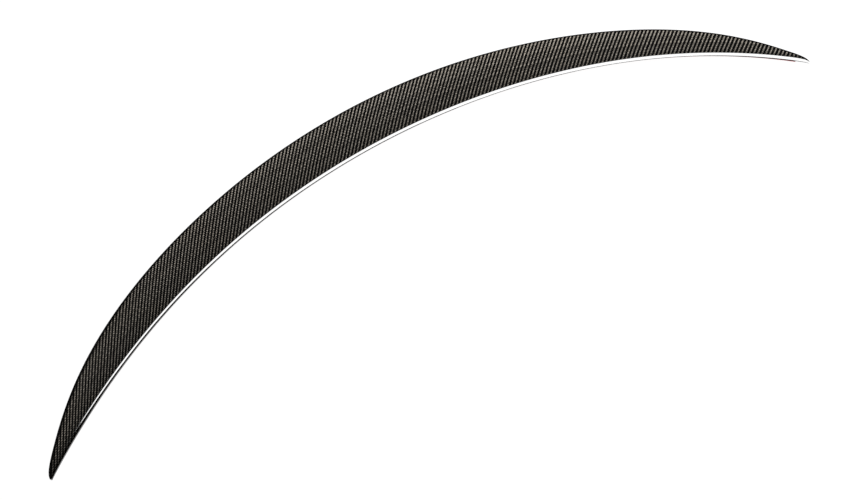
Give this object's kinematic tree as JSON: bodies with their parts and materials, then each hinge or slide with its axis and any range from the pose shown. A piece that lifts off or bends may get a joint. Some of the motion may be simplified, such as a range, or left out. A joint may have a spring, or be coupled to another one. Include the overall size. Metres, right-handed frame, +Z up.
{
  "type": "car rear spoiler",
  "caption": "Low crescent-shaped boot lip spoiler in glossy twill carbon fibre, hollow underneath, with foam tape and red release film along its front and rear feet.",
  "frame": {"origin": "where the middle of the front edge meets the boot lid, on the bonding face of the tape", "axes": "+X across the car to the right-hand tip as seen from the front edge, +Y to the rear of the car, +Z up"},
  "size_m": [1.2416, 0.2598, 0.0243],
  "materials": {
    "carbon": "two-by-two twill under a gloss clear coat",
    "foam": "matte closed-cell foam",
    "liner": "satin red film"
  },
  "bodies": {
    "root": {"carbon_shell": "carbon", "front_tape_left": "foam", "front_tape_right": "foam", "rear_tape_left": "foam", "rear_tape_right": "foam", "front_liner_left": "liner", "front_liner_right": "liner", "rear_liner_left": "liner", "rear_liner_right": "liner"}
  },
  "joints": []
}
